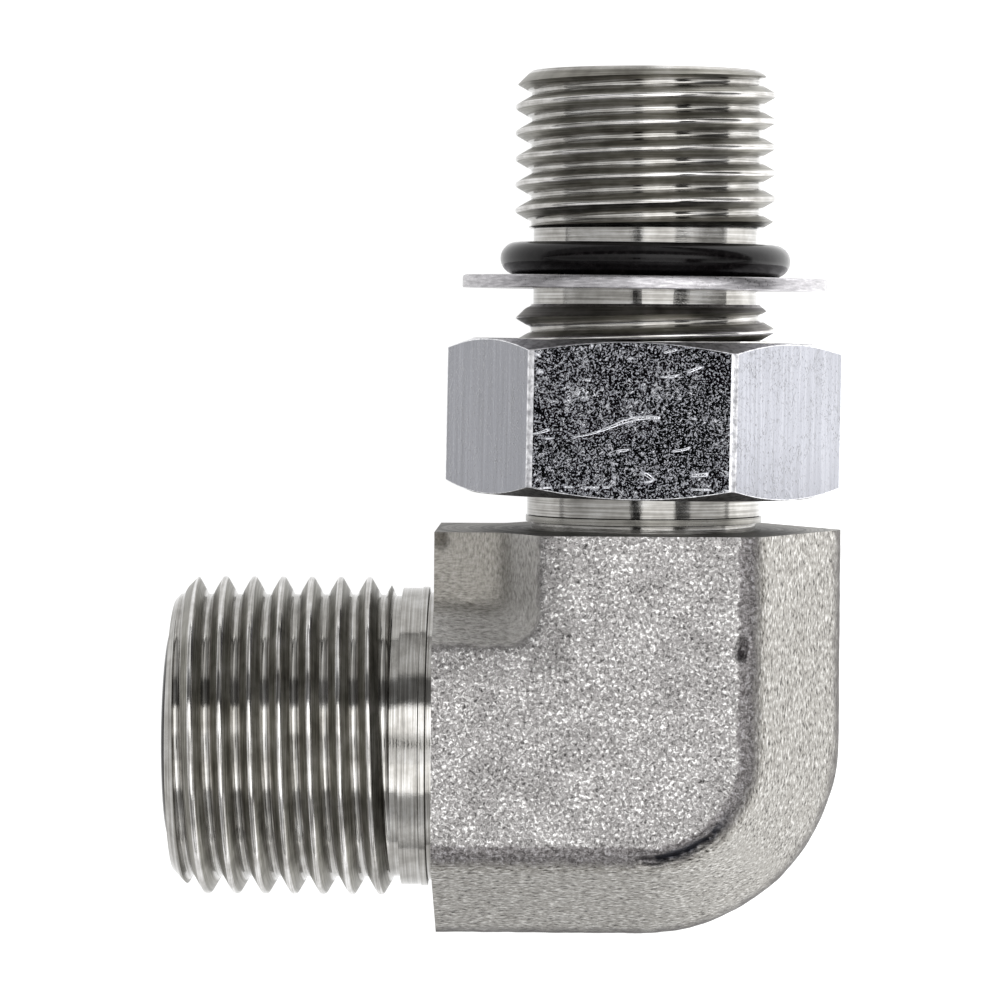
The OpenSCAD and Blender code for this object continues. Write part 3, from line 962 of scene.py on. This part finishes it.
def nitrile_rubber():
    """Moulded nitrile rubber: black, with a soft shine and a faint film of dust."""
    finish = Finish("nitrile_rubber", 0.0, 0.18, "#0B090A")
    finish.shader.inputs["IOR"].default_value = 1.48
    finish.shader.inputs["Specular IOR Level"].default_value = 0.18
    dust = finish.add("TexNoise", {"Vector": finish.place, "Scale": 1 / (0.35 * MM), "Detail": 4.0,
                                   "Roughness": 0.6})
    colour = finish.add("ValToRGB", [dust], stops=[(0.45, "#060405"), (0.75, "#171415")])
    roughness = finish.add("MapRange", [dust, 0.35, 0.7, 0.1, 0.22])
    bump = finish.add("Bump", {"Height": dust, "Distance": 0.005 * MM, "Strength": 0.7})
    return finish.feed({"Base Color": colour, "Roughness": roughness, "Normal": bump})


# %% [markdown]
# The elbow carries five finishes. A face on a shoulder's plane was faced, and its dark colour is
# painted shade; a face beyond it or on the wall of a bore was turned, and every other face is the
# forging's. On the nut, the ends and the tapped hole were cut on a lathe, and a face that leans off
# its flat is worn and coloured bright, a painted highlight.

# %% Hand out the materials
FORGED, SEAL_TURNED, PORT_TURNED, PORT_FACED, SEAL_FACED = range(5)
DRAWN, WORN_AND_HIGHLIT, CUT = range(3)
NEAR = 2 * MERGE
NUT_SKIN = 0.7 * MM
END_UP = 0.95
FLAT_UP = 0.06
FLAT_TURN = 3


def dress(piece, *finishes):
    """Gives a piece its finishes, in place of the empty slots that the cuts left."""
    piece.data.materials.clear()
    for finish in finishes:
        piece.data.materials.append(finish)


dress(elbow, forged_zinc(),
      turned_zinc("zinc_on_turned_seal_end", "X", "Y", seal_root_r, seal_thread_r,
                  -seal_thread_start),
      turned_zinc("zinc_on_turned_port_end", "Y", "X", port_root_r, port_thread_r, port_end),
      # The shoulders' dark colours are painted shade, in the corner where each stub meets the forging.
      faced_zinc("zinc_on_faced_port_shoulder", "Y", "X", "#43413E", "#86847F", 0.15 * MM),
      faced_zinc("zinc_on_faced_seal_shoulder", "X", "Y", "#43413E", "#86847F", 0.15 * MM))
for face in elbow.data.polygons:
    x, y, z = face.center
    if abs(x + seal_shoulder) < NEAR:
        face.material_index = SEAL_FACED
    elif x < -seal_shoulder or (x < 0 and math.hypot(y, z) < seal_bore_r + NEAR):
        face.material_index = SEAL_TURNED
    elif abs(y - port_shoulder) < NEAR:
        face.material_index = PORT_FACED
    elif y > port_shoulder or (y > -half_pad and math.hypot(x, z) < port_bore_r + NEAR):
        face.material_index = PORT_TURNED
    else:
        face.material_index = FORGED
rubber = nitrile_rubber()
dress(nut, drawn_zinc(), worn_and_highlit_zinc(),
      faced_zinc("zinc_on_faced_nut_ends", "Y", "X", "#8E8E92", "#BFBFC3", 0.04 * MM))
for face in nut.data.polygons:
    centre, normal = face.center, face.normal
    off_flat = (math.degrees(math.atan2(normal.x, normal.z) - NUT_TURN) + 30) % 60 - 30
    if math.hypot(centre.x, centre.z) <= nut_half - NUT_SKIN or abs(normal.y) > END_UP:
        face.material_index = CUT
    elif abs(normal.y) > FLAT_UP or abs(off_flat) > FLAT_TURN:
        # Corners and chamfers: real knocks, and a bright colour that is a painted highlight.
        face.material_index = WORN_AND_HIGHLIT
    else:
        face.material_index = DRAWN
dress(washer, punched_zinc())
dress(port_ring, rubber)
dress(face_ring, rubber)
print("finishes:", sorted(m.name for m in bpy.data.materials if m.name.startswith("zinc")))

# %% [markdown]
# ## Bodies and nodes
# Each mesh stands for one CAD node and rides that node's body, so it moves with the joints.

# %% Bodies and nodes
for piece, node, body, slot in (
        (elbow, "elbow_body", "elbow", "forged_steel"),
        (washer, "backup_washer", "elbow", "washer_steel"),
        (port_ring, "boss_o_ring", "elbow", "seal_rubber"),
        (face_ring, "face_seal_o_ring", "elbow", "seal_rubber"),
        (nut, "lock_nut", "nut", "nut_steel")):
    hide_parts(node)
    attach(piece, body)

# %% [markdown]
# ## Floor, light and camera
# The part lay on its back on a white table under a light tent, and the photograph was taken from
# above. Polished metal shows whatever is around it, so the tent decides how it looks: white cloth
# with a dark gap to the right that ends level with the part's middle, another gap above, and the
# dark camera looking in near the top. The table glows, a painted pool of light that is brighter
# towards the right and most of all beside the nut, which shows on every facet that faces that way.

# %% Floor
TABLE_HALF = 400 * MM
bm = bmesh.new()
bmesh.ops.create_grid(bm, x_segments=1, y_segments=1, size=TABLE_HALF)
floor_height = min(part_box(n)[0].z for n in frame["nodes"])
bmesh.ops.translate(bm, verts=bm.verts, vec=(0, 0, floor_height))
floor = to_object(bm, "table")
white = Finish("white_table", 0.0, 0.8, "#6E6E6E")
# Painted light: the table glows by emission, brighter towards the right and beside the nut.
white.shader.inputs["Emission Color"].default_value = (1, 1, 1, 1)
# Each ramp is the axis it follows, where it starts and ends in millimetres, and its two values.
to_right, beside_nut, beyond_nut, only_right = (
    white.add("MapRange", [white.parts[axis], start * MM, end * MM, low, high])
    for axis, start, end, low, high in (("X", 0, 24, 0.97, 1.95), ("Y", 9, 15, 0, 1),
                                        ("Y", 21, 26, 1, 0), ("X", 0, 24, 0, 0.4)))
extra = white.add("Math", [beside_nut, beyond_nut], operation="MULTIPLY")
extra = white.add("Math", [extra, only_right, 1.0], operation="MULTIPLY_ADD")
lit = white.add("Math", [to_right, extra], operation="MULTIPLY")
floor.data.materials.append(white.feed({"Emission Strength": lit}))

# %% World
world = bpy.data.worlds.new("light_tent")
scene.world = world
world.use_nodes = True
sky = world.node_tree
toward = add_node(sky, "TexCoord", output="Generated")
BRIGHTEST = 2.9
LEFT_CLOTH = ((-180, 0.36), (-70, 0.36), (-20, 0.5), (-8, 0.55), (0, 1.0))
LENS_LEAN = (-8.2, -1.3)
LENS_EDGE = (6, 4.8)
LENS_LIGHT = 0.01


def tent_side(side, stops):
    """Brightness along the lean from straight up towards one side, from stops of (degrees, light)."""
    sideways = add_node(sky, "SeparateXYZ", [toward], side)
    upward = add_node(sky, "SeparateXYZ", [toward], "Z")
    lean = add_node(sky, "Math", [sideways, upward], operation="ARCTAN2")
    turn = add_node(sky, "MapRange", [lean, -math.pi, math.pi])
    cloth = [(degrees / 360 + 0.5, (light, light, light, 1)) for degrees, light in stops]
    return add_node(sky, "ValToRGB", [turn], stops=cloth)


below_gap = tent_side("X", (*LEFT_CLOTH, (29, 1.0), (31, 0.04), (44, 0.04), (47, 0.58), (90, 0.55),
                            (180, 0.4)))
above_gap = tent_side("X", (*LEFT_CLOTH, (43, 1.0), (52, 0.5), (62, 0.15), (88, 0.15), (95, 0.55),
                            (180, 0.4)))
upper_end = tent_side("Y", ((-180, 0), (1.3, 0), (2.1, 1), (180, 1)))
across = add_node(sky, "Mix", {0: upper_end, 6: below_gap, 7: above_gap}, 2, data_type="RGBA")
along = tent_side("Y", ((-180, 0.5), (-72, 0.6), (-60, 0.3), (-42, 0.3), (-38, 1.0), (-18, 1.0),
                        (-15, 0.65), (5, 0.65), (8, 1.0), (27, 1.0), (30, 0.1), (50, 0.1),
                        (56, 0.42), (90, 0.5), (105, 0.6), (180, 0.6)))
lens_at = Vector([math.tan(math.radians(lean)) for lean in LENS_LEAN] + [1]).normalized()
facing = add_node(sky, "VectorMath", [toward, lens_at], "Value", operation="DOT_PRODUCT")
outer, inner = (math.cos(math.radians(spread)) for spread in LENS_EDGE)
lens = add_node(sky, "MapRange", [facing, outer, inner, 1.0, LENS_LIGHT])
light = add_node(sky, "Math", [across, along], operation="MULTIPLY")
light = add_node(sky, "Math", [light, lens], operation="MULTIPLY")
sky.links.new(light, sky.nodes["Background"].inputs["Color"])
sky.nodes["Background"].inputs["Strength"].default_value = BRIGHTEST

# %% Camera
PHOTO_SIDE = 1000
PHOTO_SCALE = 18.2
PHOTO_CENTRE = Vector((-7.89, 13.02, 0)) * MM
CAMERA_PLACE = Vector((-3, 23, 245)) * MM
CAMERA_ROLL = math.radians(0.3)
SENSOR = 36
camera_data = bpy.data.cameras.new("camera")
camera = bpy.data.objects.new("camera", camera_data)
scene.collection.objects.link(camera)
scene.camera = camera
camera.location = CAMERA_PLACE
looking = PHOTO_CENTRE - camera.location
back = -looking.normalized()
right = Vector((0, 1, 0)).cross(back).normalized()
upright = Matrix((right, back.cross(right), back)).transposed()
camera.rotation_mode = "QUATERNION"
camera.rotation_quaternion = (upright @ Matrix.Rotation(CAMERA_ROLL, 3, "Z")).to_quaternion()
camera_data.sensor_width = SENSOR
camera_data.lens = SENSOR * PHOTO_SCALE * looking.length / MM / PHOTO_SIDE
camera_data.clip_start = 10 * MM
camera_data.clip_end = 2
scene.view_settings.view_transform = "Standard"
print("lens", round(camera_data.lens, 1), "mm")
